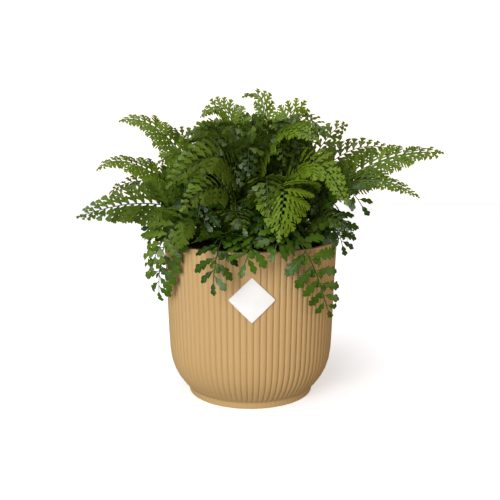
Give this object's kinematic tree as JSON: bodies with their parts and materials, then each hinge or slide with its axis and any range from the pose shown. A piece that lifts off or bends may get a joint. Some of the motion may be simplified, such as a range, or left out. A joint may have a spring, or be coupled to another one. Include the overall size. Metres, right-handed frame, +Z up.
{
  "type": "potted mother fern",
  "caption": "Mother fern with arching, finely divided fronds in a round vertically ribbed pot with a smooth front panel and a plain diamond label, filled with soil.",
  "frame": {"origin": "middle of the pot's foot, on the surface it stands on", "axes": "+Z up along the pot's axis; -Y towards the front, where the panel and the label are; +X to the right seen from the front"},
  "size_m": [0.276, 0.2104, 0.2474],
  "materials": {
    "pot": "matte sand yellow plastic",
    "soil": "coarse dark bark and peat",
    "label": "plain white paper film",
    "old_frond": "glossy dark green leaf",
    "frond": "satin mid green leaf",
    "young_frond": "satin yellow green leaf"
  },
  "bodies": {
    "root": {"pot": "pot", "soil": "soil", "label": "label", "frond_left_long": "frond", "frond_left_front_drooping": "old_frond", "frond_left_front_broad": "frond", "frond_left_front_low": "old_frond", "frond_left_middle": "frond", "frond_left_hooked": "young_frond", "frond_left_high": "young_frond", "frond_left_high_back": "frond", "frond_left_back": "frond", "frond_left_top": "frond", "frond_upper_left": "frond", "frond_front_left_high": "frond", "frond_front_left": "frond", "frond_front_left_inner": "frond", "frond_front_left_short": "old_frond", "frond_front_short": "old_frond", "frond_front_right_short": "old_frond", "frond_front_middle": "frond", "frond_front_bright": "young_frond", "frond_front_right_drooping": "old_frond", "frond_upper_front": "young_frond", "frond_centre_right": "young_frond", "frond_right_inner": "frond", "frond_right_broad": "old_frond", "frond_right_smooth": "old_frond", "frond_right_low": "young_frond", "frond_right_long": "young_frond", "frond_right_middle": "frond", "frond_right_upright": "frond", "frond_top_left": "young_frond", "frond_top": "young_frond", "frond_top_right": "young_frond", "frond_top_front_right": "frond", "frond_back_right_high": "frond", "frond_back_right": "frond", "frond_back_right_low": "old_frond", "frond_back_middle_right": "frond", "frond_back_high": "frond", "frond_back_left_high": "frond", "frond_back_middle": "frond", "frond_back_low": "old_frond", "frond_back_middle_left": "frond", "frond_back_low_left": "old_frond", "frond_back_left_low": "old_frond"}
  },
  "joints": []
}
